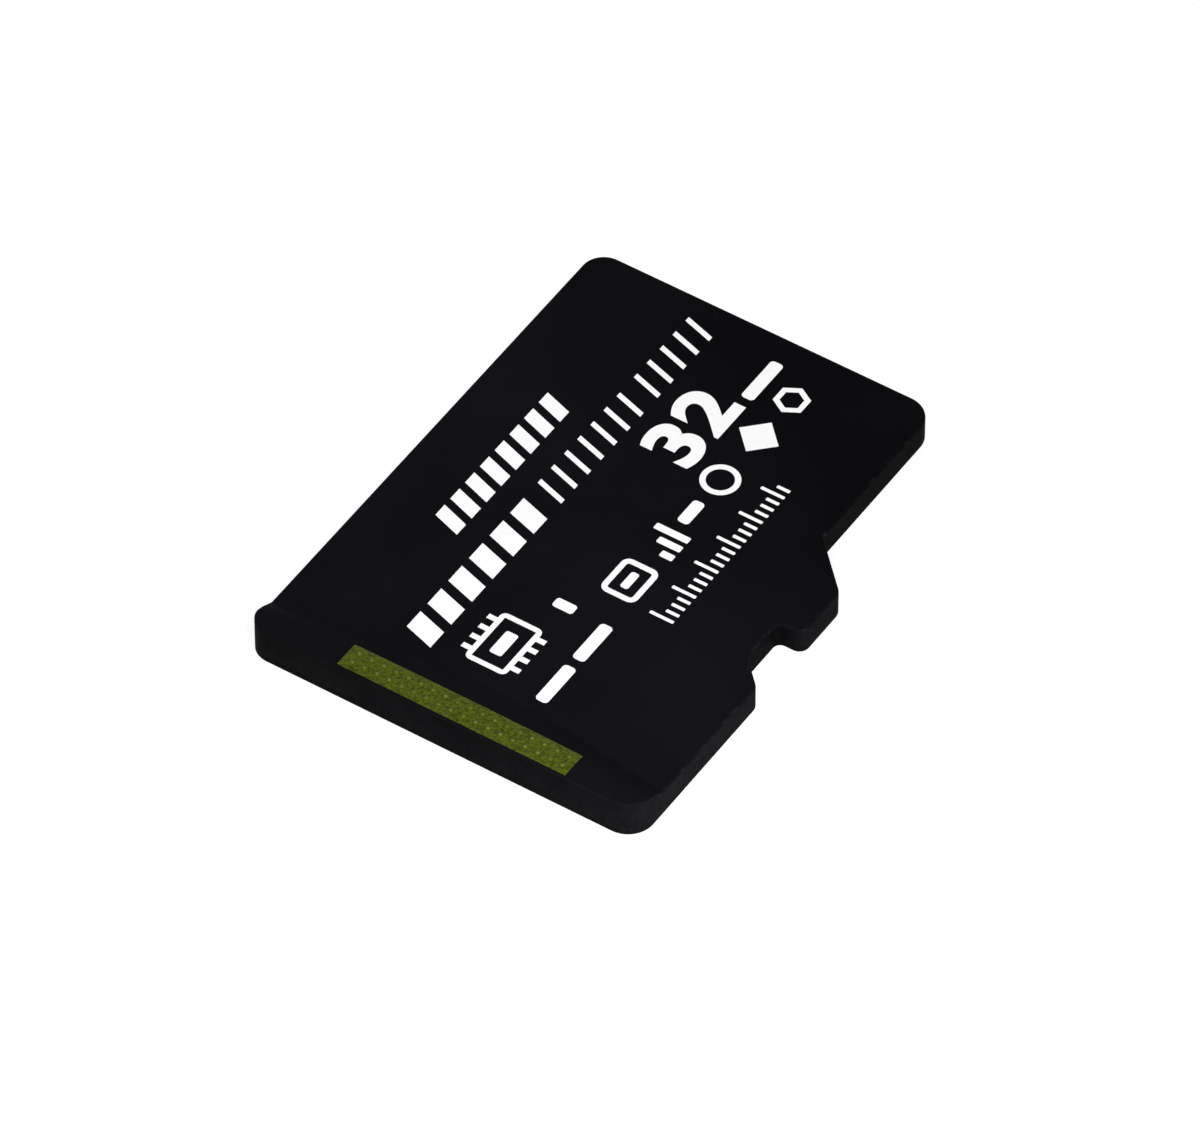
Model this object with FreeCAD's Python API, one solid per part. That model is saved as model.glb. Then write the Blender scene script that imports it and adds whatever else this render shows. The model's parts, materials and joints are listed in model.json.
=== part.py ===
import FreeCAD, Part
import math
import os

# Memory card of the smallest common size, in millimetres, lying label side up.
# +Y points to the contact end and +X to the notched side. The origin is under the middle of the card.

# Outline, seen from the label side
card_length = 15.0
card_width = 11.0
shoulder_step = 1.3            # how much narrower the contact end is, all on the notched side
shoulder_from_front = 6.3      # where the notched side reaches full width
tab_length = 1.6               # straight side between the shoulder and the notch
notch_depth = 0.7
notch_floor_length = 1.3
straight_side_radius = 0.6     # both corners on the straight side
notched_side_radius = 0.7      # both corners on the notched side
shoulder_radius = 0.4
shoulder_root_radius = 0.15
tab_corner_radius = 0.27
notch_root_radius = 0.2
notch_ramp_root_radius = 0.15
notch_ramp_radius = 0.3

# Thickness and finger lip
body_thickness = 0.7
board_thickness = 0.2
top_edge_radius = 0.05
lip_rise = 0.3                 # lip above the label face
lip_depth = 1.62               # rear edge to the foot of the lip's ramp, along the middle
lip_arc_radius = 30.0          # the foot of the ramp bows towards the contact end
lip_ramp_angle = 28.0
lip_foot_radius = 0.3
lip_crown_radius = 1.5

# Contacts underneath
contact_count = 8
long_contacts = ("contact_pad_4", "contact_pad_6")     # supply and ground mate first
contact_side_margin = 0.6      # side of the contact end to the nearest contact
contact_gap = 0.3
contact_length = 2.9
contact_from_front = 1.1
long_contact_reach = 0.4       # how much closer to the front edge the long contacts start
contact_corner_radius = 0.12
contact_thickness = 0.03
contact_recess = 0.01          # contact face below the face of the board

# Memory stack
stack_rear_margin = 2.2
stack_side_margin = 0.7
front_bay_length = 3.0         # room ahead of the stack for the controller
memory_die_thickness = 0.07
attach_film_thickness = 0.02
die_stagger = 0.45             # each die steps back to bare the bond pads of the one below

# Controller and chip parts
controller_width = 3.2
controller_gap = 0.8           # stack to controller
controller_front_margin = 0.7
controller_die_thickness = 0.1
chip_length = 0.6
chip_width = 0.3
capacitor_height = 0.25
resistor_height = 0.2
terminal_length = 0.15
terminal_step = 0.015          # how far a chip's end caps stand out from its body
chip_side_gap = 0.4            # chip parts to the die beside them
chip_pitch = 0.55
side_chip_inset = 0.5          # rear edge of the stack to the first chip part beside it
side_chip_pitch = 1.1

# Bond wires
wire_size = 0.025
wire_rise = 0.08               # loop above the die
bond_inset = 0.08              # die edge to bond pad
edge_clearance = 0.04          # how far past the die edge a wire stays level
board_land_offset = 0.38       # die edge to the landing on the board
bond_end_margin = 0.3          # end of the row of wires to the side of the die
memory_wire_pitch = 0.5
controller_wire_pitch = 0.26

# Places worked out from those sizes
half_width = card_width / 2
half_length = card_length / 2
contact_end_x = half_width - shoulder_step
contact_end_middle = (contact_end_x - half_width) / 2
shoulder_y = half_length - shoulder_from_front
notch_front_y = shoulder_y - tab_length
notch_floor_x = half_width - notch_depth
notch_floor_rear_y = notch_front_y - notch_floor_length
lip_top = body_thickness + lip_rise
stack_left_x = stack_side_margin - half_width
stack_right_x = contact_end_x - stack_side_margin
stack_rear_y = stack_rear_margin - half_length
stack_front_y = half_length - front_bay_length
memory_level = attach_film_thickness + memory_die_thickness


def vector(x, y, z):
    return FreeCAD.Vector(x, y, z)


def rounded_wire(corners):
    # Closed outline through (point, radius) corners, each rounded by a tangent arc. Radius 0 stays sharp.
    spans = []
    for index, (corner, radius) in enumerate(corners):
        back = (corners[index - 1][0] - corner).normalize()
        ahead = (corners[(index + 1) % len(corners)][0] - corner).normalize()
        half_angle = back.getAngle(ahead) / 2
        tangent = radius / math.tan(half_angle)
        bisector = (back + ahead).normalize()
        middle = corner + bisector * (radius / math.sin(half_angle) - radius)
        spans.append((radius, corner + back * tangent, middle, corner + ahead * tangent))
    edges = []
    for index, (radius, start, middle, end) in enumerate(spans):
        if radius > 0:
            edges.append(Part.Arc(start, middle, end).toShape())
        next_start = spans[(index + 1) % len(spans)][1]
        edges.append(Part.LineSegment(end, next_start).toShape())
    return Part.Wire(edges)


def block(left, right, rear, front, bottom, top):
    return Part.makeBox(right - left, front - rear, top - bottom, vector(left, rear, bottom))


def card_prism(bottom, top):
    # The card's outline as a prism, anticlockwise from the rear corner of the straight side
    outline = (
        (-half_width, -half_length, straight_side_radius),
        (half_width, -half_length, notched_side_radius),
        (half_width, notch_floor_rear_y - notch_depth, notch_ramp_radius),
        (notch_floor_x, notch_floor_rear_y, notch_ramp_root_radius),
        (notch_floor_x, notch_front_y, notch_root_radius),
        (half_width, notch_front_y, tab_corner_radius),
        (half_width, shoulder_y, shoulder_radius),
        (contact_end_x, shoulder_y + shoulder_step, shoulder_root_radius),
        (contact_end_x, half_length, notched_side_radius),
        (-half_width, half_length, straight_side_radius),
    )
    wire = rounded_wire([(vector(x, y, bottom), radius) for x, y, radius in outline])
    return Part.Face(wire).extrude(vector(0, 0, top - bottom))


def label_side_form():
    # Everything under the label side: flat face, ramp and lip, turned about the centre of the lip's arc
    foot_y = lip_depth - half_length
    axis_y = foot_y - lip_arc_radius
    ramp_angle = math.radians(lip_ramp_angle)
    crest_y = foot_y - lip_rise / math.tan(ramp_angle)
    ramp_length = lip_rise / math.sin(ramp_angle)
    largest_radius = ramp_length / 2 / math.tan(ramp_angle / 2)
    rear_y = -half_length - lip_depth
    front_y = half_length + card_width
    profile = rounded_wire([
        (vector(0, rear_y, -board_thickness), 0),
        (vector(0, front_y, -board_thickness), 0),
        (vector(0, front_y, body_thickness), 0),
        (vector(0, foot_y, body_thickness), min(lip_foot_radius, largest_radius)),
        (vector(0, crest_y, lip_top), min(lip_crown_radius, largest_radius)),
        (vector(0, rear_y, lip_top), 0),
    ])
    half_sweep = math.degrees(math.atan(card_width / lip_arc_radius))
    axis_foot = vector(0, axis_y, 0)
    upward = vector(0, 0, 1)
    profile.rotate(axis_foot, upward, -half_sweep)
    return Part.Face(profile).revolve(axis_foot, upward, 2 * half_sweep)


def wall_top_edges(solid):
    # Edges where the upright walls meet the label side
    edges = []
    for face in solid.Faces:
        first_u, last_u, first_v, last_v = face.ParameterRange
        normal = face.normalAt((first_u + last_u) / 2, (first_v + last_v) / 2)
        if abs(normal.z) > 0.01:
            continue
        for edge in face.Edges:
            if min(vertex.Z for vertex in edge.Vertexes) > body_thickness - top_edge_radius:
                edges.append(edge)
    return edges


def make_body_blank():
    # The moulding before the pieces inside it are taken out
    blank = card_prism(board_thickness, lip_top + lip_rise).common(label_side_form()).Solids[0]
    return blank.makeFillet(top_edge_radius, wall_top_edges(blank)).Solids[0]


def contact_name(number):
    return "contact_pad_%d" % number


def contact_prism(number, bottom, top):
    # Contact 1 is on the notched side
    row_width = contact_end_x + half_width - 2 * contact_side_margin
    width = (row_width - (contact_count - 1) * contact_gap) / contact_count
    right = contact_end_x - contact_side_margin - (number - 1) * (width + contact_gap)
    rear = half_length - contact_from_front - contact_length
    front = half_length - contact_from_front
    if contact_name(number) in long_contacts:
        front += long_contact_reach
    corners = ((right - width, rear), (right, rear), (right, front), (right - width, front))
    wire = rounded_wire([(vector(x, y, bottom), contact_corner_radius) for x, y in corners])
    return Part.Face(wire).extrude(vector(0, 0, top - bottom))


def make_contacts():
    contacts = {}
    contact_top = contact_recess + contact_thickness
    for number in range(1, contact_count + 1):
        contacts[contact_name(number)] = contact_prism(number, contact_recess, contact_top)
    return contacts


def make_board():
    # The laminate, with a pocket for each contact
    board = card_prism(0, board_thickness)
    pockets = []
    for number in range(1, contact_count + 1):
        pockets.append(contact_prism(number, 0, contact_recess + contact_thickness))
    return board.cut(pockets).Solids[0]


def die_on_film(left, right, rear, front, bottom, die_thickness):
    film_top = bottom + attach_film_thickness
    film = block(left, right, rear, front, bottom, film_top)
    die = block(left, right, rear, front, film_top, film_top + die_thickness)
    return film, die


def make_memory_stack():
    stack = {}
    die_length = stack_front_y - stack_rear_y - die_stagger
    for level, name in enumerate(("lower", "upper")):
        rear = stack_rear_y + level * die_stagger
        bottom = board_thickness + level * memory_level
        film, die = die_on_film(
            stack_left_x, stack_right_x, rear, rear + die_length, bottom, memory_die_thickness)
        stack[name + "_attach_film"] = film
        stack["memory_die_" + name] = die
    return stack


def controller_bounds():
    left = contact_end_middle - controller_width / 2
    rear = stack_front_y + controller_gap
    front = half_length - controller_front_margin
    return left, left + controller_width, rear, front


def make_controller():
    left, right, rear, front = controller_bounds()
    film, die = die_on_film(left, right, rear, front, board_thickness, controller_die_thickness)
    return {"controller_attach_film": film, "controller_die": die}


def chip_part(middle_x, middle_y, height):
    # Chip capacitor or resistor, with an end cap that stands out a little at each end
    left = middle_x - chip_width / 2
    right = middle_x + chip_width / 2
    rear = middle_y - chip_length / 2
    front = middle_y + chip_length / 2
    bottom = board_thickness
    top = bottom + height
    core = block(left + terminal_step, right - terminal_step, rear, front,
                 bottom + terminal_step, top - terminal_step)
    rear_cap = block(left, right, rear, rear + terminal_length, bottom, top)
    front_cap = block(left, right, front - terminal_length, front, bottom, top)
    return core.fuse([rear_cap, front_cap]).removeSplitter().Solids[0]


def make_chip_parts():
    # Capacitors beside the controller and beside the stack, resistors outside the controller's capacitors
    left, right, rear, front = controller_bounds()
    bay_y = (rear + front) / 2
    first_column = chip_side_gap + chip_width / 2
    second_column = first_column + chip_pitch
    side_x = stack_right_x + first_column
    side_y = stack_rear_y + side_chip_inset + chip_length / 2
    return {
        "capacitor_1": chip_part(left - first_column, bay_y, capacitor_height),
        "capacitor_2": chip_part(right + first_column, bay_y, capacitor_height),
        "capacitor_3": chip_part(side_x, side_y, capacitor_height),
        "capacitor_4": chip_part(side_x, side_y + side_chip_pitch, capacitor_height),
        "resistor_1": chip_part(left - second_column, bay_y, resistor_height),
        "resistor_2": chip_part(right + second_column, bay_y, resistor_height),
    }


def strip_side(path, offset):
    # One side of a strip along a path of straight runs: mitred at the bends, level at both ends
    runs = [(path[index + 1] - path[index]).normalize() for index in range(len(path) - 1)]
    side = []
    for index, point in enumerate(path):
        run_in = runs[max(index - 1, 0)]
        run_out = runs[min(index, len(runs) - 1)]
        normal_in = vector(0, -run_in.z, run_in.y)
        normal_out = vector(0, -run_out.z, run_out.y)
        if 0 < index < len(path) - 1:
            mitre = (normal_in + normal_out) * (offset / (1 + normal_in.dot(normal_out)))
            side.append(point + mitre)
        else:
            lift = offset * normal_out.z / run_out.z
            side.append(point + normal_out * offset - run_out * lift)
    return side


def bond_wire(middle_x, edge_y, outward, die_top, land_y, land_top):
    # One wire: up from its pad, level past the die edge, down to its landing
    left_x = middle_x - wire_size / 2
    pad_y = edge_y - outward * bond_inset
    clear_y = edge_y + outward * edge_clearance
    loop_top = die_top + wire_rise
    path = [
        vector(left_x, pad_y, die_top),
        vector(left_x, pad_y, loop_top),
        vector(left_x, clear_y, loop_top),
        vector(left_x, land_y, land_top),
    ]
    outline = strip_side(path, wire_size / 2) + strip_side(path, -wire_size / 2)[::-1]
    face = Part.Face(Part.makePolygon(outline + outline[:1]))
    return face.extrude(vector(wire_size, 0, 0))


def wire_row(left, right, pitch):
    # Wires at an even pitch, centred between the two ends of the row
    room = right - left - 2 * bond_end_margin
    gaps = int(room / pitch)
    first = (left + right - gaps * pitch) / 2
    return [first + index * pitch for index in range(gaps + 1)]


def make_memory_wires():
    # The upper die is wired to the bared edge of the lower one, and the lower die to the board
    wires = []
    lower_top = board_thickness + memory_level
    upper_top = lower_top + memory_level
    upper_edge = stack_rear_y + die_stagger
    shelf_land = upper_edge - (die_stagger - bond_inset) / 2
    board_land = stack_rear_y - board_land_offset
    for x in wire_row(stack_left_x, stack_right_x, memory_wire_pitch):
        wires.append(bond_wire(x, upper_edge, -1, upper_top, shelf_land, lower_top))
        wires.append(bond_wire(x, stack_rear_y, -1, lower_top, board_land, board_thickness))
    return Part.makeCompound(wires)


def make_controller_wires():
    left, right, rear, front = controller_bounds()
    die_top = board_thickness + attach_film_thickness + controller_die_thickness
    wires = []
    for x in wire_row(left, right, controller_wire_pitch):
        for edge_y, outward in ((rear, -1), (front, 1)):
            land_y = edge_y + outward * board_land_offset
            wires.append(bond_wire(x, edge_y, outward, die_top, land_y, board_thickness))
    return Part.makeCompound(wires)


def make_body(inner):
    # The moulding fills every gap between the pieces inside it
    hollows = []
    for piece in inner.values():
        hollows.extend(piece.Solids)
    return make_body_blank().cut(hollows).Solids[0]


inner_pieces = {}
inner_pieces.update(make_memory_stack())
inner_pieces.update(make_controller())
inner_pieces.update(make_chip_parts())
inner_pieces["memory_bond_wires"] = make_memory_wires()
inner_pieces["controller_bond_wires"] = make_controller_wires()

pieces = {"moulded_body": make_body(inner_pieces), "substrate_board": make_board()}
pieces.update(make_contacts())
pieces.update(inner_pieces)

os.makedirs("parts", exist_ok=True)
for name, shape in pieces.items():
    shape.exportStep("parts/%s.step" % name)
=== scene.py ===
import bpy
import bmesh
import json
import math
from mathutils import Matrix, Vector
from mathutils.bvhtree import BVHTree


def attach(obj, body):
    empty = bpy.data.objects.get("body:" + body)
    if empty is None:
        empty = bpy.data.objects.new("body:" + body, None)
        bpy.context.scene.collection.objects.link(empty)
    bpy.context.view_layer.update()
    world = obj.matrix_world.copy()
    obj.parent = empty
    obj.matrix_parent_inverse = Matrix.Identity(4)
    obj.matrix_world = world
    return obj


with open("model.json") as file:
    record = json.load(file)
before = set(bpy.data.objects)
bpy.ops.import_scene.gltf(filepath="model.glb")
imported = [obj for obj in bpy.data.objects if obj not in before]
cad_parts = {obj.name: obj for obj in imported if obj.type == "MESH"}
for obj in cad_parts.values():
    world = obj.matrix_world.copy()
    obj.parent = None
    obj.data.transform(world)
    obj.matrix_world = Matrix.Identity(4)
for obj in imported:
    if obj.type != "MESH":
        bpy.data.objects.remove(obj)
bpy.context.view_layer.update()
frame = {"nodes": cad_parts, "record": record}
nodes = frame["nodes"]
mm = 0.001
print("frame loaded:", len(nodes), "pieces")

# Sizes below are in millimetres: +Y is the card's contact end, +X its notched side, +Z its label side

# Node helpers

def addNode(tree, kind, settings=None, inputs=None):
    made = tree.nodes.new(kind)
    for name, value in (settings or {}).items():
        setattr(made, name, value)
    for name, value in (inputs or {}).items():
        if isinstance(value, bpy.types.NodeSocket):
            tree.links.new(value, made.inputs[name])
        else:
            made.inputs[name].default_value = value
    return made


def mathNode(tree, operation, first, second=0.5, clamp=False):
    settings = {"operation": operation, "use_clamp": clamp}
    return addNode(tree, "ShaderNodeMath", settings, {0: first, 1: second}).outputs[0]


def spread(tree, value, fromLow, fromHigh, toLow=0.0, toHigh=1.0):
    made = addNode(tree, "ShaderNodeMapRange", {"clamp": True}, {
        "Value": value, "From Min": fromLow, "From Max": fromHigh, "To Min": toLow, "To Max": toHigh})
    return made.outputs["Result"]


def mixColour(tree, amount, first, second):
    # The node's sockets 0, 6 and 7 are the factor and the two colours
    inputs = {0: amount}
    for index, value in ((6, first), (7, second)):
        inputs[index] = value if isinstance(value, bpy.types.NodeSocket) else (*value, 1.0)
    return addNode(tree, "ShaderNodeMix", {"data_type": "RGBA"}, inputs).outputs[2]


def objectPoint(tree, stretch=(1.0, 1.0, 1.0), turn=(0.0, 0.0, 0.0)):
    where = addNode(tree, "ShaderNodeTexCoord")
    mapping = addNode(tree, "ShaderNodeMapping", None, {
        "Vector": where.outputs["Object"], "Scale": stretch, "Rotation": turn})
    return mapping.outputs["Vector"]


def drawnOut(tree, turn, stretch):
    # Object coordinates turned about Z, then drawn out along the turned axes
    where = addNode(tree, "ShaderNodeTexCoord")
    mapping = addNode(tree, "ShaderNodeMapping", {"vector_type": "TEXTURE"}, {
        "Vector": where.outputs["Object"], "Rotation": (0.0, 0.0, turn), "Scale": stretch})
    return mapping.outputs["Vector"]


def noise(tree, point, size, detail=2.0, roughness=0.5):
    made = addNode(tree, "ShaderNodeTexNoise", None, {
        "Vector": point, "Scale": 1.0 / (size * mm), "Detail": detail, "Roughness": roughness})
    return made.outputs["Fac"]


def newGroup(name, inputs, outputs):
    group = bpy.data.node_groups.new(name, "ShaderNodeTree")
    for socketName, kind, value in inputs:
        socket = group.interface.new_socket(name=socketName, in_out="INPUT", socket_type=kind)
        socket.default_value = value
    for socketName, kind in outputs:
        group.interface.new_socket(name=socketName, in_out="OUTPUT", socket_type=kind)
    return group, addNode(group, "NodeGroupInput"), addNode(group, "NodeGroupOutput")


def useGroup(tree, group, inputs=None):
    return addNode(tree, "ShaderNodeGroup", {"node_tree": group}, inputs)


def newMaterial(name):
    material = bpy.data.materials.new(name)
    material.use_nodes = True
    tree = material.node_tree
    return material, tree, tree.nodes["Principled BSDF"]


def feed(tree, shader, **values):
    # Links what varies, and sets what is the same all over on the socket itself
    for name, value in values.items():
        socket = shader.inputs[name.replace("_", " ")]
        if isinstance(value, bpy.types.NodeSocket):
            tree.links.new(value, socket)
        else:
            socket.default_value = value


def bump(tree, height, depth, normal=None):
    inputs = {"Height": height, "Distance": depth * mm}
    if normal is not None:
        inputs["Normal"] = normal
    return addNode(tree, "ShaderNodeBump", None, inputs).outputs["Normal"]


# Shared surface effects

noiseMiddle = (0.35, 0.65)  # where most of a noise lies
noiseSpan = (0.3, 0.7)  # where nearly all of it lies


def makeMouldGrain():
    group, inside, outside = newGroup(
        "mouldGrain",
        [("Grain Size", "NodeSocketFloat", 0.05), ("Cloud Size", "NodeSocketFloat", 1.5)],
        [("Height", "NodeSocketFloat"), ("Cloud", "NodeSocketFloat")])
    point = objectPoint(group)
    for output, size, detail in (("Height", "Grain Size", 3.0), ("Cloud", "Cloud Size", 4.0)):
        scale = mathNode(group, "DIVIDE", 1.0 / mm, inside.outputs[size])
        grain = addNode(group, "ShaderNodeTexNoise", None, {
            "Vector": point, "Scale": scale, "Detail": detail})
        group.links.new(grain.outputs["Fac"], outside.inputs[output])
    return group


edgeWearGlintPlan = {
    "samples": 4,
    "edge": (0.99, 0.92),  # how far the softened normal agrees with the real one
    "wearGlint": (0.54, 0.70),
    "detail": 3.0,
}


def makeEdgeWearGlint():
    # A mask for edges that are worn in patches, which the finishes also use for a painted highlight, and
    # a normal that is soft round the edges
    plan = edgeWearGlintPlan
    group, inside, outside = newGroup(
        "edgeWearGlint",
        [("Reach", "NodeSocketFloat", 0.06), ("Patch Size", "NodeSocketFloat", 0.4)],
        [("Mask", "NodeSocketFloat"), ("Soft Normal", "NodeSocketVector")])
    reach = mathNode(group, "MULTIPLY", inside.outputs["Reach"], mm)
    softened = addNode(group, "ShaderNodeBevel", {"samples": plan["samples"]}, {"Radius": reach})
    facing = addNode(group, "ShaderNodeNewGeometry")
    agree = addNode(group, "ShaderNodeVectorMath", {"operation": "DOT_PRODUCT"}, {
        0: softened.outputs["Normal"], 1: facing.outputs["Normal"]})
    edge = spread(group, agree.outputs["Value"], *plan["edge"])
    scale = mathNode(group, "DIVIDE", 1.0 / mm, inside.outputs["Patch Size"])
    patches = addNode(group, "ShaderNodeTexNoise", None, {
        "Vector": objectPoint(group), "Scale": scale, "Detail": plan["detail"]})
    wearGlint = spread(group, patches.outputs["Fac"], *plan["wearGlint"])
    group.links.new(mathNode(group, "MULTIPLY", edge, wearGlint), outside.inputs["Mask"])
    group.links.new(softened.outputs["Normal"], outside.inputs["Soft Normal"])
    return group


cutWallPlan = {
    "upright": (0.75, 0.2),  # Z of the normal, from a lying face to a wall
    "lineStretch": 0.12,
    "detail": 3.0,
    "roughness": 0.6,
}


def makeCutWall():
    # Upright walls, cut from a panel: a mask for them, and the fine upright lines that the cut leaves
    plan = cutWallPlan
    group, inside, outside = newGroup(
        "cutWall",
        [("Line Size", "NodeSocketFloat", 0.05), ("Normal", "NodeSocketVector", (0.0, 0.0, 1.0))],
        [("Mask", "NodeSocketFloat"), ("Lines", "NodeSocketFloat")])
    parts = addNode(group, "ShaderNodeSeparateXYZ", None, {0: inside.outputs["Normal"]})
    lean = mathNode(group, "ABSOLUTE", parts.outputs["Z"])
    group.links.new(spread(group, lean, *plan["upright"]), outside.inputs["Mask"])
    scale = mathNode(group, "DIVIDE", 1.0 / mm, inside.outputs["Line Size"])
    lines = addNode(group, "ShaderNodeTexNoise", None, {
        "Vector": objectPoint(group, (1.0, 1.0, plan["lineStretch"])), "Scale": scale,
        "Detail": plan["detail"], "Roughness": plan["roughness"]})
    group.links.new(lines.outputs["Fac"], outside.inputs["Lines"])
    return group


wallShadePlan = {
    "shadeFrom": 1.2,  # along Y
    "shadeTo": 3.0,
    "insetFrom": 5.4,  # along X, from full width to the floor of the notch
    "insetTo": 5.0,
    "insetSide": 4.0,  # the notch lies past this along X
    "insetRear": -3.5,  # and past this along Y
    "share": 0.85,
}


def makeWallShade():
    # A mask of painted shade for the walls at the contact end and in the notch, which are darker than the
    # others
    plan = wallShadePlan
    group, _, outside = newGroup("wallShade", [], [("Mask", "NodeSocketFloat")])
    place = addNode(group, "ShaderNodeSeparateXYZ", None, {0: objectPoint(group)})
    ahead = spread(group, place.outputs["Y"], plan["shadeFrom"] * mm, plan["shadeTo"] * mm)
    inset = spread(group, place.outputs["X"], plan["insetFrom"] * mm, plan["insetTo"] * mm)
    notched = mathNode(group, "GREATER_THAN", place.outputs["X"], plan["insetSide"] * mm)
    inset = mathNode(group, "MULTIPLY", inset, notched)
    past = mathNode(group, "GREATER_THAN", place.outputs["Y"], plan["insetRear"] * mm)
    inset = mathNode(group, "MULTIPLY", inset, past)
    dark = mathNode(group, "MULTIPLY", mathNode(group, "MAXIMUM", ahead, inset), plan["share"])
    group.links.new(dark, outside.inputs["Mask"])
    return group


dustPlan = {
    "speck": (0.05, 0.02),  # edge and core of a speck, in spacings
    "bareShare": 0.8,
}


def makeDust():
    plan = dustPlan
    group, inside, outside = newGroup(
        "settledDust",
        [("Speck Spacing", "NodeSocketFloat", 0.35)],
        [("Mask", "NodeSocketFloat")])
    scale = mathNode(group, "DIVIDE", 1.0 / mm, inside.outputs["Speck Spacing"])
    specks = addNode(group, "ShaderNodeTexVoronoi", {"feature": "F1"}, {
        "Vector": objectPoint(group), "Scale": scale, "Randomness": 1.0})
    close = spread(group, specks.outputs["Distance"], *plan["speck"])
    draw = addNode(group, "ShaderNodeSeparateColor", None, {0: specks.outputs["Color"]})
    chosen = mathNode(group, "GREATER_THAN", draw.outputs[0], plan["bareShare"])
    group.links.new(mathNode(group, "MULTIPLY", close, chosen), outside.inputs["Mask"])
    return group


mouldGrain = makeMouldGrain()
edgeWearGlint = makeEdgeWearGlint()
cutWall = makeCutWall()
wallShade = makeWallShade()
settledDust = makeDust()
print("shared surface effects ready")


# Finishes

epoxyLook = {
    "labelDark": (0.0029, 0.0029, 0.0037),
    "labelLight": (0.0058, 0.0059, 0.0076),
    # painted shade and light across the label face
    "shadeFrom": 6.5,
    "shadeTo": 0.0,
    "shadeLean": 0.7,
    "shadeRange": (0.05, 0.75),
    "cloudTone": (-0.2, 0.2),
    "wallDark": (0.0029, 0.0029, 0.0035),
    "wallLight": (0.0054, 0.0053, 0.0062),
    "wallShaded": (0.0018, 0.0018, 0.0021),
    "cutTone": (0.38, 0.62),
    "rearTurn": (-0.5, -0.9),  # Y of the normal
    "rearLow": 0.3,
    "rearHigh": 0.9,
    "rearShadeShare": 0.4,
    "rampShade": (0.0008, 0.0008, 0.0010),
    "rampTurn": (0.08, 0.40),  # Y of the normal
    "rampShadeShare": 0.28,
    "rubbedGlint": (0.034, 0.034, 0.036),
    "rubGlintShare": 0.5,
    "rearRubGlint": 0.25,
    "rearRubGlintFrom": -7.3,
    "rearRubGlintTo": -7.4,
    "rubGlintReach": 0.10,
    "rubGlintPatch": 0.35,
    "softFrom": 0.32,
    "softTo": 0.45,
    "dust": (0.05, 0.05, 0.055),
    "dustShare": 0.15,
    "dustSpacing": 0.6,
    "grainSize": 0.055,
    "grainDepth": 0.0022,
    "cloudSize": 3.0,
    "patchSize": 0.9,
    "cutLineSize": 0.06,
    "cutLineShare": 0.35,
    "cutLineRise": 1.5,
    "rough": (0.5, 0.62),
    "wallRough": 0.12,
    "specular": 0.011,
}


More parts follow.
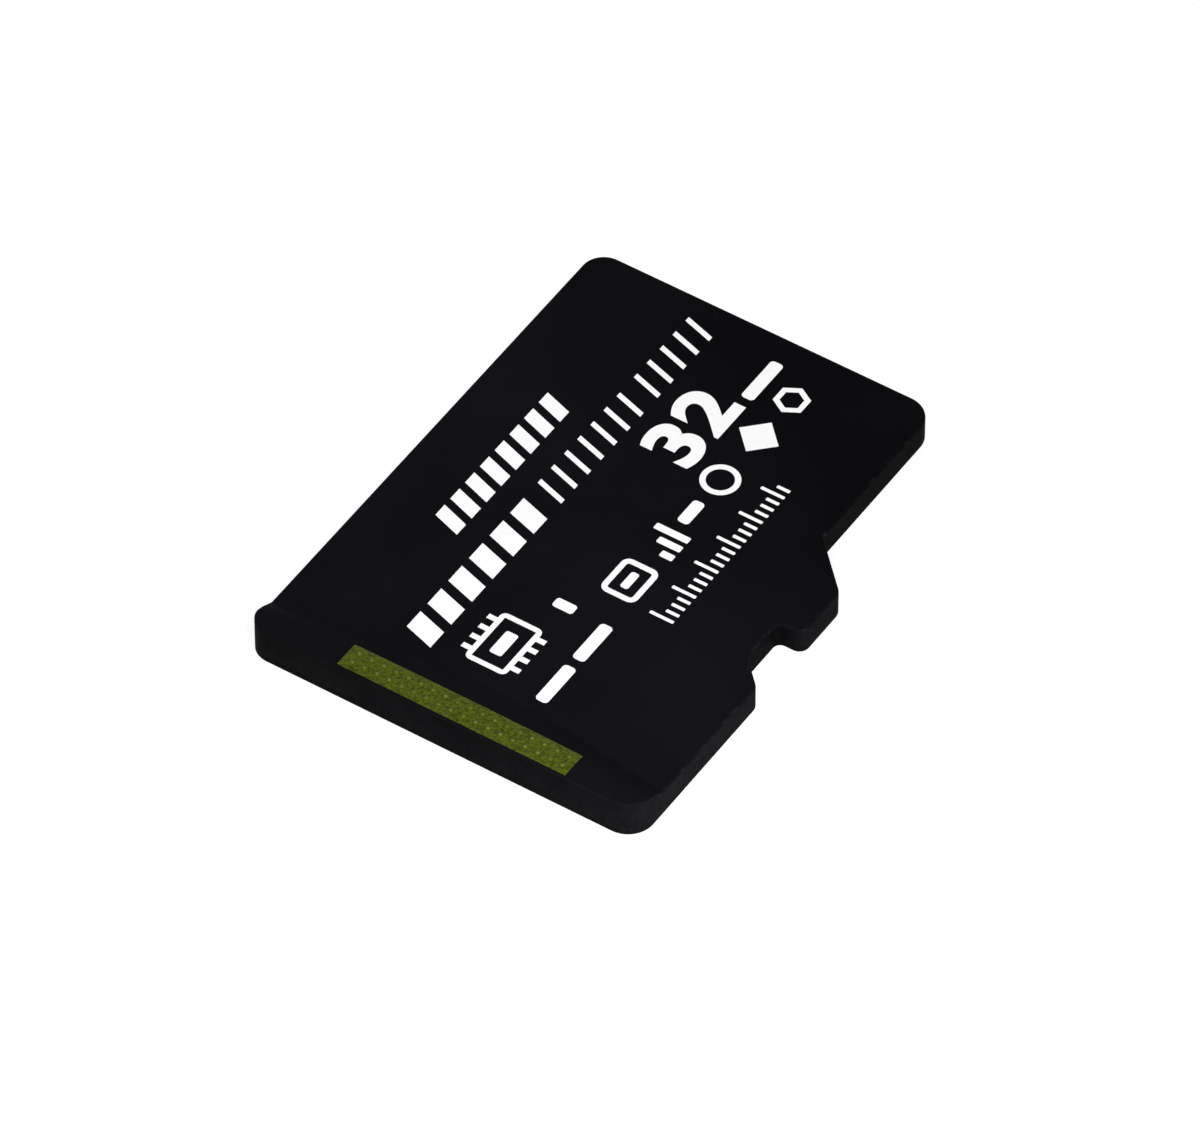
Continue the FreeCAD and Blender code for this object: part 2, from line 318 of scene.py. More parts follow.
def makeEpoxy():
    look = epoxyLook
    material, tree, shader = newMaterial("mouldedEpoxy")
    grain = useGroup(tree, mouldGrain, {"Grain Size": look["grainSize"], "Cloud Size": look["cloudSize"]})
    rub = useGroup(tree, edgeWearGlint, {"Reach": look["rubGlintReach"], "Patch Size": look["rubGlintPatch"]})
    dust = useGroup(tree, settledDust, {"Speck Spacing": look["dustSpacing"]})
    place = addNode(tree, "ShaderNodeSeparateXYZ", None, {0: objectPoint(tree)})
    # The top edge is softly rounded, the edge on the board is crisp
    facing = addNode(tree, "ShaderNodeNewGeometry").outputs["Normal"]
    upper = spread(tree, place.outputs["Z"], look["softFrom"] * mm, look["softTo"] * mm)
    softNormal = mixColour(tree, upper, facing, rub.outputs["Soft Normal"])
    wall = useGroup(tree, cutWall, {"Line Size": look["cutLineSize"], "Normal": softNormal})
    # Painted shade and light: the label face is darker towards the contact end and the notched side, and
    # lighter towards the rear
    lean = mathNode(tree, "MULTIPLY", place.outputs["X"], look["shadeLean"])
    along = mathNode(tree, "ADD", place.outputs["Y"], lean)
    paintedShade = spread(tree, along, look["shadeFrom"] * mm, look["shadeTo"] * mm, *look["shadeRange"])
    cloud = spread(tree, grain.outputs["Cloud"], *noiseMiddle, *look["cloudTone"])
    tone = mathNode(tree, "ADD", paintedShade, cloud, True)
    label = mixColour(tree, tone, look["labelDark"], look["labelLight"])
    # Painted shade: the ramp of the lip, which faces the contact end, is a little darker
    aim = addNode(tree, "ShaderNodeSeparateXYZ", None, {0: facing}).outputs["Y"]
    ramp = spread(tree, aim, *look["rampTurn"], 0.0, look["rampShadeShare"])
    label = mixColour(tree, ramp, label, look["rampShade"])
    # Cut walls: fine lines over broad patches, with painted shade at the contact end and in the notch
    lines = mathNode(tree, "MULTIPLY", wall.outputs["Lines"], look["cutLineShare"])
    patches = noise(tree, objectPoint(tree), look["patchSize"], detail=4.0, roughness=0.6)
    patches = mathNode(tree, "MULTIPLY", patches, 1.0 - look["cutLineShare"])
    cutTone = spread(tree, mathNode(tree, "ADD", lines, patches), *look["cutTone"])
    side = mixColour(tree, cutTone, look["wallDark"], look["wallLight"])
    shade = useGroup(tree, wallShade)
    side = mixColour(tree, shade.outputs["Mask"], side, look["wallShaded"])
    # Painted shade: the rear wall darkens towards the lip
    rear = spread(tree, aim, *look["rearTurn"], 0.0, look["rearShadeShare"])
    rise = spread(tree, place.outputs["Z"], look["rearLow"] * mm, look["rearHigh"] * mm)
    rear = mathNode(tree, "MULTIPLY", rear, rise)
    side = mixColour(tree, rear, side, look["wallShaded"])
    colour = mixColour(tree, wall.outputs["Mask"], label, side)
    # Edges are rubbed lighter in patches, which is wear and also a painted highlight; the rear edge is
    # hardly rubbed
    rubbedGlint = mathNode(tree, "MULTIPLY", rub.outputs["Mask"], look["rubGlintShare"])
    atRear = spread(tree, place.outputs["Y"], look["rearRubGlintFrom"] * mm, look["rearRubGlintTo"] * mm,
                    1.0, look["rearRubGlint"])
    rubbedGlint = mathNode(tree, "MULTIPLY", rubbedGlint, atRear)
    colour = mixColour(tree, rubbedGlint, colour, look["rubbedGlint"])
    dusty = mathNode(tree, "MULTIPLY", dust.outputs["Mask"], look["dustShare"])
    colour = mixColour(tree, dusty, colour, look["dust"])
    rough = spread(tree, grain.outputs["Height"], *noiseSpan, *look["rough"])
    extra = mathNode(tree, "MULTIPLY", wall.outputs["Mask"], look["wallRough"])
    rough = mathNode(tree, "ADD", rough, extra, True)
    ridges = mathNode(tree, "MULTIPLY", wall.outputs["Mask"], wall.outputs["Lines"])
    ridges = mathNode(tree, "MULTIPLY", ridges, look["cutLineRise"])
    height = mathNode(tree, "ADD", grain.outputs["Height"], ridges)
    relief = bump(tree, height, look["grainDepth"], softNormal)
    feed(tree, shader, Base_Color=colour, Roughness=rough, Normal=relief,
         Specular_IOR_Level=look["specular"])
    return material


boardLook = {
    "maskDark": (0.0075, 0.0080, 0.0086),
    "maskLight": (0.0120, 0.0126, 0.0132),
    "overTrace": (0.0170, 0.0180, 0.0180),
    "tracePitch": 0.26,
    "traceLength": 4.3,
    "traceGap": 0.085,
    "traceSoftness": 0.2,
    "traceStagger": 0.37,
    "traceStaggerRows": 3,
    "traceShare": 0.45,
    "traceRise": 4.0,
    "viaSpacing": 0.95,
    "viaScatter": 0.9,
    "via": (0.16, 0.13),  # edge and core of a via, in spacings
    "underside": (-0.9, -0.99),  # Z of the normal
    "laminateDark": (0.0027, 0.0027, 0.0031),
    "laminateLight": (0.0052, 0.0051, 0.0056),
    "laminateShaded": (0.0014, 0.0014, 0.0016),
    "cutTone": (0.35, 0.7),
    "rubbedGlint": (0.03, 0.03, 0.03),
    "rubGlintShare": 0.4,
    "rubGlintReach": 0.05,
    "rubGlintPatch": 0.6,
    "grainSize": 0.09,
    "cloudSize": 2.0,
    "cutLineSize": 0.05,
    "weaveSize": 0.22,
    "weaveBend": 0.6,
    "weaveRise": 0.4,
    "bumpDepth": 0.002,
    "rough": (0.32, 0.44),
    "wallRough": 0.25,
    "specular": 0.011,
}


def makeBoardMask():
    look = boardLook
    material, tree, shader = newMaterial("boardMask")
    grain = useGroup(tree, mouldGrain, {"Grain Size": look["grainSize"], "Cloud Size": look["cloudSize"]})
    facing = addNode(tree, "ShaderNodeNewGeometry").outputs["Normal"]
    wall = useGroup(tree, cutWall, {"Line Size": look["cutLineSize"], "Normal": facing})
    rub = useGroup(tree, edgeWearGlint, {"Reach": look["rubGlintReach"], "Patch Size": look["rubGlintPatch"]})
    cloud = spread(tree, grain.outputs["Cloud"], *noiseMiddle)
    mask = mixColour(tree, cloud, look["maskDark"], look["maskLight"])
    # Copper traces and plugged vias stand up a little under the mask
    black, white = (0.0, 0.0, 0.0, 1.0), (1.0, 1.0, 1.0, 1.0)
    stagger = {"offset": look["traceStagger"], "offset_frequency": look["traceStaggerRows"]}
    traces = addNode(tree, "ShaderNodeTexBrick", stagger, {
        "Vector": objectPoint(tree, turn=(0.0, 0.0, math.pi / 2)), "Scale": 1.0 / mm,
        "Brick Width": look["traceLength"], "Row Height": look["tracePitch"],
        "Mortar Size": look["traceGap"], "Mortar Smooth": look["traceSoftness"],
        "Color1": white, "Color2": black, "Mortar": black})
    laid = spread(tree, traces.outputs["Color"], 1.0 - look["traceShare"], 1.05 - look["traceShare"])
    spots = addNode(tree, "ShaderNodeTexVoronoi", {"feature": "F1"}, {
        "Vector": objectPoint(tree), "Scale": 1.0 / (look["viaSpacing"] * mm),
        "Randomness": look["viaScatter"]})
    via = spread(tree, spots.outputs["Distance"], *look["via"])
    under = addNode(tree, "ShaderNodeSeparateXYZ", None, {0: facing}).outputs["Z"]
    copper = mathNode(tree, "MAXIMUM", laid, via)
    copper = mathNode(tree, "MULTIPLY", copper, spread(tree, under, *look["underside"]))
    mask = mixColour(tree, copper, mask, look["overTrace"])
    cutTone = spread(tree, wall.outputs["Lines"], *look["cutTone"])
    edge = mixColour(tree, cutTone, look["laminateDark"], look["laminateLight"])
    # Painted shade on the cut edge at the contact end and in the notch
    shade = useGroup(tree, wallShade)
    edge = mixColour(tree, shade.outputs["Mask"], edge, look["laminateShaded"])
    colour = mixColour(tree, wall.outputs["Mask"], mask, edge)
    # Edges rubbed lighter in patches: wear and a painted highlight
    rubbedGlint = mathNode(tree, "MULTIPLY", rub.outputs["Mask"], look["rubGlintShare"])
    colour = mixColour(tree, rubbedGlint, colour, look["rubbedGlint"])
    # The glass weave of the laminate shows faintly through the mask
    weave = 1.0 / (look["weaveSize"] * mm) / 2
    cloth = look["weaveRise"]
    for direction in ("X", "Y"):
        threads = addNode(tree, "ShaderNodeTexWave", {"bands_direction": direction}, {
            "Vector": objectPoint(tree), "Scale": weave, "Distortion": look["weaveBend"]})
        cloth = mathNode(tree, "MULTIPLY", threads.outputs["Fac"], cloth)
    height = mathNode(tree, "ADD", grain.outputs["Height"], cloth)
    height = mathNode(tree, "ADD", height, mathNode(tree, "MULTIPLY", copper, look["traceRise"]))
    rough = spread(tree, grain.outputs["Height"], *noiseSpan, *look["rough"])
    extra = mathNode(tree, "MULTIPLY", wall.outputs["Mask"], look["wallRough"])
    rough = mathNode(tree, "ADD", rough, extra, True)
    relief = bump(tree, height, look["bumpDepth"])
    feed(tree, shader, Base_Color=colour, Roughness=rough, Normal=relief,
         Specular_IOR_Level=look["specular"])
    return material


goldLook = {
    "bright": (0.86, 0.62, 0.24),
    "dull": (0.70, 0.47, 0.17),
    "grainSize": 0.03,
    "cloudSize": 0.8,
    "scratchWidth": 0.02,
    "scratchStretch": 0.03,
    "wiped": (0.4, 0.7),
    "rough": (0.22, 0.42),
    "bumpDepth": 0.0012,
}


def makeGold(name, scratched):
    look = goldLook
    material, tree, shader = newMaterial(name)
    grain = useGroup(tree, mouldGrain, {"Grain Size": look["grainSize"], "Cloud Size": look["cloudSize"]})
    drawn = objectPoint(tree, (1.0, look["scratchStretch"], 1.0))
    streak = noise(tree, drawn, look["scratchWidth"], detail=3.0, roughness=0.65)
    tone = spread(tree, grain.outputs["Cloud"], *noiseSpan)
    colour = mixColour(tree, tone, look["bright"], look["dull"])
    rough = spread(tree, streak, *look["wiped"], *look["rough"])
    scratches = mathNode(tree, "MULTIPLY", streak, scratched)
    height = mathNode(tree, "ADD", grain.outputs["Height"], scratches)
    relief = bump(tree, height, look["bumpDepth"])
    feed(tree, shader, Base_Color=colour, Roughness=rough, Normal=relief, Metallic=1.0)
    return material


siliconLook = {
    "field": (0.045, 0.05, 0.065),
    "seam": (0.16, 0.15, 0.17),
    "blockWidth": 1.3,
    "blockHeight": 0.9,
    "seamWidth": 0.03,
    "sheenSize": 0.4,
    "rough": (0.12, 0.24),
    "metallic": 0.6,
}


def makeSilicon():
    look = siliconLook
    material, tree, shader = newMaterial("silicon")
    field, seam = (*look["field"], 1.0), (*look["seam"], 1.0)
    blocks = addNode(tree, "ShaderNodeTexBrick", {"offset": 0.0}, {
        "Vector": objectPoint(tree), "Scale": 1.0 / mm, "Mortar Size": look["seamWidth"],
        "Brick Width": look["blockWidth"], "Row Height": look["blockHeight"],
        "Color1": field, "Color2": field, "Mortar": seam})
    sheen = noise(tree, objectPoint(tree), look["sheenSize"])
    rough = spread(tree, sheen, *noiseSpan, *look["rough"])
    feed(tree, shader, Base_Color=blocks.outputs["Color"], Roughness=rough, Metallic=look["metallic"])
    return material


plainLooks = {
    "attachFilm": {
        "dark": (0.42, 0.35, 0.24), "light": (0.60, 0.52, 0.38),
        "size": 0.5, "depth": 0.002, "rough": (0.5, 0.65),
    },
    "capacitorCeramic": {
        "dark": (0.38, 0.27, 0.18), "light": (0.52, 0.40, 0.28),
        "size": 0.08, "depth": 0.002, "rough": (0.4, 0.55),
    },
    "resistorCeramic": {
        "dark": (0.03, 0.03, 0.035), "light": (0.09, 0.09, 0.1),
        "size": 0.08, "depth": 0.002, "rough": (0.3, 0.5),
    },
}


def makePlain(name):
    look = plainLooks[name]
    material, tree, shader = newMaterial(name)
    mottle = noise(tree, objectPoint(tree), look["size"], detail=3.0)
    colour = mixColour(tree, spread(tree, mottle, *noiseMiddle), look["dark"], look["light"])
    rough = spread(tree, mottle, *noiseSpan, *look["rough"])
    feed(tree, shader, Base_Color=colour, Roughness=rough, Normal=bump(tree, mottle, look["depth"]))
    return material


whiteInkLook = {
    "white": (0.90, 0.90, 0.90),
    "thin": (0.80, 0.80, 0.81),
    "cover": (0.25, 0.4),
    "grainSize": 0.055,
    "grainDepth": 0.0012,
    "cloudSize": 0.5,
    "rough": (0.45, 0.6),
    "specular": 0.2,
}


def makeWhiteInk():
    look = whiteInkLook
    material, tree, shader = newMaterial("whiteInk")
    grain = useGroup(tree, mouldGrain, {"Grain Size": look["grainSize"], "Cloud Size": look["cloudSize"]})
    cover = spread(tree, grain.outputs["Height"], *look["cover"])
    colour = mixColour(tree, cover, look["thin"], look["white"])
    rough = spread(tree, grain.outputs["Cloud"], *noiseSpan, *look["rough"])
    relief = bump(tree, grain.outputs["Height"], look["grainDepth"])
    feed(tree, shader, Base_Color=colour, Roughness=rough, Normal=relief,
         Specular_IOR_Level=look["specular"])
    return material


oliveInkLook = {
    "light": (0.074, 0.0945, 0.0050),
    "dark": (0.027, 0.036, 0.0010),
    "dotGlint": (0.170, 0.198, 0.060),
    "wrinkleSize": 0.080,
    "wrinkleStretch": 1.7,
    "wrinkleTurn": 0.58,
    "wrinkleDepth": 0.004,
    "creaseWidth": 0.10,
    "creaseEnd": (0.4, 0.1),  # heights on a dot, from 0 at its foot to 1 at its top
    "footOut": (0.0, 0.12),
    "footIn": (0.55, 0.3),
    "footShadeShare": 0.6,
    "glintTop": (0.70, 0.98),
    "glintPatch": (0.36, 0.60),
    "grainSize": 0.06,
    "rough": (0.36, 0.46),
    "specular": 0.12,
}


def makeOliveInk():
    look = oliveInkLook
    material, tree, shader = newMaterial("oliveInk")
    grain = useGroup(tree, mouldGrain, {"Grain Size": look["grainSize"]})
    drawn = drawnOut(tree, look["wrinkleTurn"], (look["wrinkleStretch"], 1.0, 1.0))
    wrinkle = noise(tree, drawn, look["wrinkleSize"], detail=1.0)
    fold = mathNode(tree, "ABSOLUTE", mathNode(tree, "SUBTRACT", wrinkle, 0.5))
    crown = addNode(tree, "ShaderNodeAttribute", {"attribute_name": "dotCrown"}).outputs["Fac"]
    # Thin dark creases between the dots and a dark foot round each dot, both painted shade, and a light
    # top on each dot, a painted highlight
    crease = mathNode(tree, "MULTIPLY", spread(tree, fold, look["creaseWidth"], 0.0),
                      spread(tree, crown, *look["creaseEnd"]))
    footShade = mathNode(tree, "MULTIPLY", spread(tree, crown, *look["footOut"]),
                    spread(tree, crown, *look["footIn"]))
    footShade = mathNode(tree, "MULTIPLY", footShade, look["footShadeShare"])
    dark = mathNode(tree, "MAXIMUM", crease, footShade)
    colour = mixColour(tree, dark, look["light"], look["dark"])
    wearGlint = mathNode(tree, "MULTIPLY", spread(tree, crown, *look["glintTop"]),
                    spread(tree, wrinkle, *look["glintPatch"]))
    colour = mixColour(tree, wearGlint, colour, look["dotGlint"])
    rough = spread(tree, grain.outputs["Height"], *noiseSpan, *look["rough"])
    relief = bump(tree, mathNode(tree, "SUBTRACT", 1.0, crease), look["wrinkleDepth"])
    feed(tree, shader, Base_Color=colour, Roughness=rough, Normal=relief,
         Specular_IOR_Level=look["specular"])
    return material


finishes = {
    "moulded_epoxy": makeEpoxy(),
    "board_mask": makeBoardMask(),
    "contact_gold": makeGold("contactGold", 1.0),
    "bond_wire_gold": makeGold("bondWireGold", 0.2),
    "silicon": makeSilicon(),
    "attach_film": makePlain("attachFilm"),
    "capacitor_ceramic": makePlain("capacitorCeramic"),
    "resistor_ceramic": makePlain("resistorCeramic"),
}
for subpart in frame["record"]["subparts"]:
    piece = nodes[subpart["node"]]
    piece.data.materials.clear()
    piece.data.materials.append(finishes[subpart["material_slot"]])
whiteInk = makeWhiteInk()
oliveInk = makeOliveInk()
print("finishes on", len(nodes), "pieces")


# Printed marks on the label face: plain bars and simple shapes, reading along +Y with -X as up

printLayout = {
    "labelTop": 0.7,
    "inkThickness": 0.006,
    "cornerSegments": 6,
    "bars": [
        # rear, front, upper side, lower side, corner
        (5.30, 6.70, 0.05, 0.40, 0.10),
        (-2.86, -2.56, 0.05, 0.62, 0.08),
        (-5.55, -4.25, 1.36, 1.70, 0.10),
        (-3.98, -2.68, 1.36, 1.70, 0.10),
        (1.05, 1.85, 1.00, 1.32, 0.10),
        (-1.47, -0.91, 1.05, 1.27, 0.07),
    ],
    "frames": [
        # rear, front, upper side, lower side, corner, line
        (-1.80, -0.58, 0.66, 1.66, 0.22, 0.15),
    ],
    "stripes": [
        # rear, front, upper side, lower side, count, share filled, lean
        (-2.20, 2.60, -3.84, -3.06, 8, 0.62, 0.26),
        (-5.55, -0.60, -2.40, -1.56, 6, 0.66, 0.26),
        (0.00, 3.55, -2.40, -1.56, 7, 0.26, 0.26),
        (4.15, 6.55, -2.40, -1.56, 5, 0.26, 0.26),
    ],
    "shapes": [
        # place along, place across, radius, corners, line (0 is filled)
        (2.72, 1.16, 0.50, 48, 0.15),
        (4.40, 1.16, 0.56, 4, 0.0),
        (5.85, 1.16, 0.46, 6, 0.14),
    ],
    "number": {
        "text": "32", "weight": 0.035, "spacing": 1.06, "mergeWithin": 0.0001,
        "rear": 2.58, "front": 5.04, "upper": -1.14, "lower": 0.40,
    },
    "chip": {
        "along": -4.50, "across": -0.19, "length": 1.70, "height": 1.16, "corner": 0.16, "line": 0.14,
        "coreLength": 0.78, "coreHeight": 0.34, "coreCorner": 0.06,
        "pins": 4, "pinPitch": 0.36, "pinWidth": 0.15, "pinReach": 0.23,
    },
    "level": {
        "rear": -0.14, "lower": 1.64, "barWidth": 0.20, "gap": 0.14, "corner": 0.04,
        "heights": (0.36, 0.66, 0.96),
    },
    "scale": {
        "rear": -1.80, "lower": 2.76, "ticks": 22, "pitch": 0.24, "width": 0.09, "corner": 0.02,
        "tall": 0.66, "short": 0.36, "tallEvery": 4,
    },
}


def inkBed(along, across):
    # A point on the label face, in metres
    return Vector((across, along, printLayout["labelTop"])) * mm


def raiseInk(bm, faces):
    # Gives flat faces on the label the thickness of the ink
    made = bmesh.ops.extrude_face_region(bm, geom=faces)
    lifted = [g for g in made["geom"] if isinstance(g, bmesh.types.BMVert)]
    bmesh.ops.translate(bm, vec=(0, 0, printLayout["inkThickness"] * mm), verts=lifted)


def hollowOut(bm, face, line):
    # Leaves a line of this width along the edge of a face
    ring = bmesh.ops.inset_region(bm, faces=[face], thickness=line * mm,
                                  use_even_offset=True, use_boundary=True)
    bmesh.ops.delete(bm, geom=[face], context="FACES")
    return ring["faces"]


def flatPatch(bm, rear, front, upper, lower):
    made = bmesh.ops.create_grid(bm, x_segments=1, y_segments=1, size=0.5)["verts"]
    bmesh.ops.scale(bm, vec=((lower - upper) * mm, (front - rear) * mm, 1.0), verts=made)
    bmesh.ops.translate(bm, vec=inkBed((front + rear) / 2, (lower + upper) / 2), verts=made)
    return made


def roundedPatch(bm, rear, front, upper, lower, corner):
    corners = flatPatch(bm, rear, front, upper, lower)
    made = bmesh.ops.bevel(bm, geom=corners, offset=corner * mm, offset_type="OFFSET", affect="VERTICES",
                           segments=printLayout["cornerSegments"], profile=0.5, material=-1)
    return max({f for v in made["verts"] for f in v.link_faces}, key=lambda f: f.calc_area())


def addBar(bm, rear, front, upper, lower, corner):
    raiseInk(bm, [roundedPatch(bm, rear, front, upper, lower, corner)])


def addFrame(bm, rear, front, upper, lower, corner, line):
    raiseInk(bm, hollowOut(bm, roundedPatch(bm, rear, front, upper, lower, corner), line))


def addStripes(bm, rear, front, upper, lower, count, filled, lean):
    # A band of slanted stripes
    pitch = (front - rear) / (count - 1 + filled)
    slant = Matrix.Identity(4)
    slant[1][0] = -lean / (lower - upper)
    for index in range(count):
        start = rear + pitch * index + lean / 2
        stripe = flatPatch(bm, start, start + pitch * filled, upper, lower)
        middle = inkBed(start + pitch * filled / 2, (lower + upper) / 2)
        bmesh.ops.transform(bm, matrix=slant, space=Matrix.Translation(-middle), verts=stripe)
        raiseInk(bm, stripe[0].link_faces[:])


def addShape(bm, along, across, radius, corners, line):
    place = Matrix.Translation(inkBed(along, across))
    made = bmesh.ops.create_circle(bm, cap_ends=True, radius=radius * mm, segments=corners, matrix=place)
    face = made["verts"][0].link_faces[0]
    raiseInk(bm, hollowOut(bm, face, line) if line else [face])


def addNumber(bm, plan):
    curve = bpy.data.curves.new("printedNumber", "FONT")
    curve.body = plan["text"]
    curve.offset = plan["weight"]
    curve.space_character = plan["spacing"]
    holder = bpy.data.objects.new("printedNumber", curve)
    flat = bpy.data.meshes.new_from_object(holder)
    bpy.data.objects.remove(holder)
    before = len(bm.verts)
    bm.from_mesh(flat)
    bpy.data.meshes.remove(flat)
    bm.verts.ensure_lookup_table()
    bmesh.ops.remove_doubles(bm, verts=bm.verts[before:], dist=plan["mergeWithin"])
    bm.verts.ensure_lookup_table()
    digits = bm.verts[before:]
    low = Vector((min(v.co.x for v in digits), min(v.co.y for v in digits), 0.0))
    high = Vector((max(v.co.x for v in digits), max(v.co.y for v in digits), 0.0))
    size = high - low
    length = (plan["front"] - plan["rear"]) * mm
    height = (plan["lower"] - plan["upper"]) * mm
    fit = Matrix.Diagonal((length / size.x, height / size.y, 1.0, 1.0)) @ Matrix.Translation(-low)
    turn = Matrix.Rotation(math.pi / 2, 4, "Z")
    place = Matrix.Translation(inkBed(plan["rear"], plan["lower"]))
    bmesh.ops.transform(bm, matrix=place @ turn @ fit, verts=digits)
    raiseInk(bm, list({f for v in digits for f in v.link_faces}))


def addChipSign(bm, plan):
    # A square with a core and rows of pins
    along, across = plan["along"], plan["across"]
    rear, front = along - plan["length"] / 2, along + plan["length"] / 2
    upper, lower = across - plan["height"] / 2, across + plan["height"] / 2
    addFrame(bm, rear, front, upper, lower, plan["corner"], plan["line"])
    coreLength, coreHeight = plan["coreLength"] / 2, plan["coreHeight"] / 2
    addBar(bm, along - coreLength, along + coreLength, across - coreHeight, across + coreHeight,
           plan["coreCorner"])
    for index in range(plan["pins"]):
        middle = along + (index - (plan["pins"] - 1) / 2) * plan["pinPitch"]
        start, end = middle - plan["pinWidth"] / 2, middle + plan["pinWidth"] / 2
        raiseInk(bm, flatPatch(bm, start, end, upper - plan["pinReach"], upper)[0].link_faces[:])
        raiseInk(bm, flatPatch(bm, start, end, lower, lower + plan["pinReach"])[0].link_faces[:])


def addLevelSign(bm, plan):
    for index, height in enumerate(plan["heights"]):
        rear = plan["rear"] + index * (plan["barWidth"] + plan["gap"])
        addBar(bm, rear, rear + plan["barWidth"], plan["lower"] - height, plan["lower"], plan["corner"])


def addScaleRow(bm, plan):
    for index in range(plan["ticks"]):
        rear = plan["rear"] + index * plan["pitch"]
        height = plan["short"] if index % plan["tallEvery"] else plan["tall"]
        addBar(bm, rear, rear + plan["width"], plan["lower"] - height, plan["lower"], plan["corner"])


def finishPiece(name, bm, material):
    bmesh.ops.recalc_face_normals(bm, faces=bm.faces)
    mesh = bpy.data.meshes.new(name)
    bm.to_mesh(mesh)
    bm.free()
    mesh.materials.append(material)
    piece = bpy.data.objects.new(name, mesh)
    bpy.context.scene.collection.objects.link(piece)
    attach(piece, "root")
    print(name + ":", len(mesh.polygons), "faces")


def makeLabelPrint():
    bm = bmesh.new()
    for bar in printLayout["bars"]:
        addBar(bm, *bar)
    for outline in printLayout["frames"]:
        addFrame(bm, *outline)
    for band in printLayout["stripes"]:
        addStripes(bm, *band)
    for shape in printLayout["shapes"]:
        addShape(bm, *shape)
    addNumber(bm, printLayout["number"])
    addChipSign(bm, printLayout["chip"])
    addLevelSign(bm, printLayout["level"])
    addScaleRow(bm, printLayout["scale"])
    for face in bm.faces:
        face.smooth = False
    finishPiece("labelPrint", bm, whiteInk)


makeLabelPrint()


# Olive strip on the finger lip, with two rows of small raised dots

stripPlan = {
    "left": -2.935,
    "right": 3.445,
    "rear": -7.405,
    "front": -6.645,
    "thickness": 0.006,
    "cell": 0.026,
    "firstDot": -2.66,
    "dotPitch": 0.346,
    "dotCount": 18,
    "dotRadius": 0.08,
    "dotHeight": 0.022,
    "dotRows": (-6.87, -7.17),
    "dropFrom": 10.0,
}


def dotCrown(x, y):
    # 1 at the top of a dot, 0 between the dots
    plan = stripPlan
    index = round((x - plan["firstDot"]) / plan["dotPitch"])
    index = min(max(index, 0), plan["dotCount"] - 1)
    across = x - plan["firstDot"] - index * plan["dotPitch"]
    away = min(math.hypot(across, y - row) for row in plan["dotRows"])
    return max(0.0, 1.0 - (away / plan["dotRadius"]) ** 2)


def makeOliveStrip():
    plan = stripPlan
    length = plan["right"] - plan["left"]
    width = plan["front"] - plan["rear"]
    middle = Vector(((plan["left"] + plan["right"]) / 2, (plan["rear"] + plan["front"]) / 2, 0.0))
    columns, rows = round(length / plan["cell"]), round(width / plan["cell"])
    bm = bmesh.new()
    crowns = bm.verts.layers.float.new("dotCrown")
    bmesh.ops.create_grid(bm, x_segments=columns, y_segments=rows, size=0.5)
    bmesh.ops.scale(bm, vec=(length * mm, width * mm, 1.0), verts=bm.verts)
    bmesh.ops.translate(bm, vec=middle * mm, verts=bm.verts)
    lifted = bmesh.ops.extrude_face_region(bm, geom=bm.faces[:])
    top = [g for g in lifted["geom"] if isinstance(g, bmesh.types.BMVert)]
    for v in top:
        v[crowns] = dotCrown(v.co.x / mm, v.co.y / mm)
        v.co.z += (plan["thickness"] + plan["dotHeight"] * v[crowns]) * mm
    # Laid on the lip
    lip = BVHTree.FromObject(nodes["moulded_body"], bpy.context.evaluated_depsgraph_get())
    for v in bm.verts:
        above = Vector((v.co.x, v.co.y, plan["dropFrom"] * mm))
        v.co.z += lip.ray_cast(above, Vector((0, 0, -1)))[0].z
    for face in bm.faces:
        face.smooth = True
    finishPiece("oliveStrip", bm, oliveInk)


makeOliveStrip()


# Stage, light and camera

stagePlan = {
    "floorSize": 1600.0,
    "floorDrop": 0.02,
    "clearReach": 0.12,
    "floorColour": (0.80, 0.80, 0.80),
    "floorGlow": 0.72,
    "floorShown": (0.34, 0.34, 0.34),
    "ceiling": (0.10, 0.10, 0.115),
    "ceilingRise": (0.30, 0.62),
    "fill": 0.34,
    "fillBelow": 0.9,
}


def rayMask(tree):
    # Rays that see the stage as a plain white background
    path = addNode(tree, "ShaderNodeLightPath")
    seen = mathNode(tree, "ADD", path.outputs["Is Camera Ray"], path.outputs["Is Glossy Ray"])
    return mathNode(tree, "ADD", seen, path.outputs["Is Transmission Ray"], True)


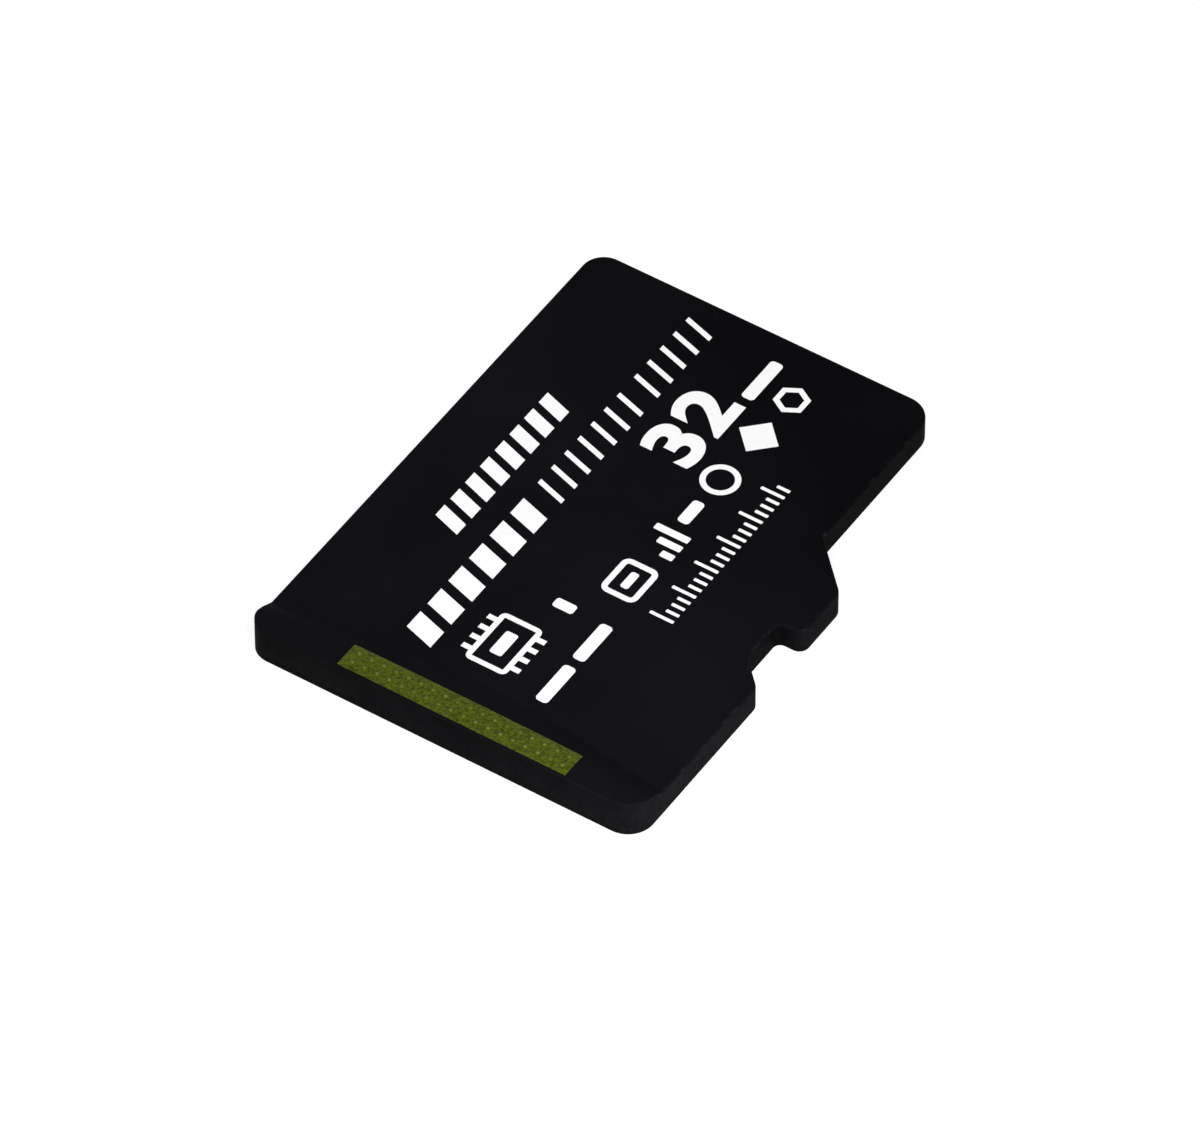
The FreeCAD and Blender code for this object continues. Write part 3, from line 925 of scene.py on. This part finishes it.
def makeFloor():
    plan = stagePlan
    bm = bmesh.new()
    drop = Matrix.Translation((0.0, 0.0, -plan["floorDrop"] * mm))
    bmesh.ops.create_grid(bm, x_segments=1, y_segments=1, size=plan["floorSize"] / 2 * mm, matrix=drop)
    mesh = bpy.data.meshes.new("floor")
    bm.to_mesh(mesh)
    bm.free()
    floor = bpy.data.objects.new("floor", mesh)
    bpy.context.scene.collection.objects.link(floor)
    material = bpy.data.materials.new("paleFloor")
    material.use_nodes = True
    tree = material.node_tree
    tree.nodes.clear()
    bounce = addNode(tree, "ShaderNodeBsdfDiffuse", None, {"Color": (*plan["floorColour"], 1.0)})
    shade = addNode(tree, "ShaderNodeBsdfDiffuse", None, {"Color": (*plan["floorShown"], 1.0)})
    glow = addNode(tree, "ShaderNodeEmission", None, {"Strength": plan["floorGlow"]})
    shown = addNode(tree, "ShaderNodeAddShader", None, {0: shade.outputs[0], 1: glow.outputs[0]})
    mixed = addNode(tree, "ShaderNodeMixShader", None, {
        0: rayMask(tree), 1: bounce.outputs[0], 2: shown.outputs[0]})
    # The floor is clear from below and close under the card, so that the underside shows and gets light
    side = addNode(tree, "ShaderNodeNewGeometry")
    path = addNode(tree, "ShaderNodeLightPath")
    close = mathNode(tree, "LESS_THAN", path.outputs["Ray Length"], plan["clearReach"] * mm)
    close = mathNode(tree, "SUBTRACT", close, path.outputs["Is Camera Ray"], True)
    through = mathNode(tree, "MAXIMUM", close, side.outputs["Backfacing"])
    clear = addNode(tree, "ShaderNodeBsdfTransparent")
    whole = addNode(tree, "ShaderNodeMixShader", None, {
        0: through, 1: mixed.outputs[0], 2: clear.outputs[0]})
    addNode(tree, "ShaderNodeOutputMaterial", None, {"Surface": whole.outputs[0]})
    mesh.materials.append(material)


def makeWorld():
    # White backdrop low down, dim studio ceiling above, soft even fill on the object
    plan = stagePlan
    world = bpy.data.worlds.new("studio")
    bpy.context.scene.world = world
    world.use_nodes = True
    tree = world.node_tree
    tree.nodes.clear()
    where = addNode(tree, "ShaderNodeTexCoord")
    parts = addNode(tree, "ShaderNodeSeparateXYZ", None, {0: where.outputs["Generated"]})
    rise = spread(tree, parts.outputs["Z"], *plan["ceilingRise"])
    shown = mixColour(tree, rise, (1.0, 1.0, 1.0), plan["ceiling"])
    below = mathNode(tree, "LESS_THAN", parts.outputs["Z"], 0.0)
    fill = mixColour(tree, below, (plan["fill"],) * 3, (plan["fillBelow"],) * 3)
    colour = mixColour(tree, rayMask(tree), fill, shown)
    back = addNode(tree, "ShaderNodeBackground", None, {"Color": colour})
    addNode(tree, "ShaderNodeOutputWorld", None, {"Surface": back.outputs[0]})


lamps = {
    # place in metres, watts, width and height in metres, seen in reflections
    "keyBox": ((0.38, -0.35, 0.62), 4.4, 0.45, 0.45, True),
    "sideBox": ((-0.45, -0.35, 0.45), 1.2, 0.40, 0.40, True),
    "lowCardRight": ((0.017, -0.012, 0.004), 0.0032, 0.012, 0.004, False),
    "lowCardLeft": ((-0.030, 0.004, 0.005), 0.004, 0.020, 0.006, False),
}


def makeLamps():
    for name, (place, watts, width, height, reflected) in lamps.items():
        light = bpy.data.lights.new(name, "AREA")
        light.energy = watts
        light.shape = "RECTANGLE"
        light.size = width
        light.size_y = height
        holder = bpy.data.objects.new(name, light)
        holder.location = place
        holder.rotation_mode = "QUATERNION"
        holder.rotation_quaternion = (-Vector(place)).to_track_quat("-Z", "Y")
        holder.visible_camera = False
        holder.visible_glossy = reflected
        bpy.context.scene.collection.objects.link(holder)


cameraPlan = {
    "azimuth": 33.393,
    "elevation": 46.925,
    "place": (113.581, -173.001, 220.928),
    "lens": 384.03,
    "sensor": 36.0,
    "nearest": 10.0,
    "farthest": 10000.0,
}


def makeCamera():
    plan = cameraPlan
    turn = math.radians(plan["azimuth"])
    rise = math.radians(plan["elevation"])
    back = Vector((math.sin(turn) * math.cos(rise), -math.cos(turn) * math.cos(rise), math.sin(rise)))
    data = bpy.data.cameras.new("photoCamera")
    data.lens = plan["lens"]
    data.sensor_width = plan["sensor"]
    data.clip_start = plan["nearest"] * mm
    data.clip_end = plan["farthest"] * mm
    camera = bpy.data.objects.new("photoCamera", data)
    camera.location = Vector(plan["place"]) * mm
    camera.rotation_mode = "QUATERNION"
    camera.rotation_quaternion = (-back).to_track_quat("-Z", "Y")
    bpy.context.scene.collection.objects.link(camera)
    bpy.context.scene.camera = camera


makeFloor()
makeWorld()
makeLamps()
makeCamera()
bpy.context.scene.view_settings.view_transform = "Standard"
print("stage, light and camera ready")
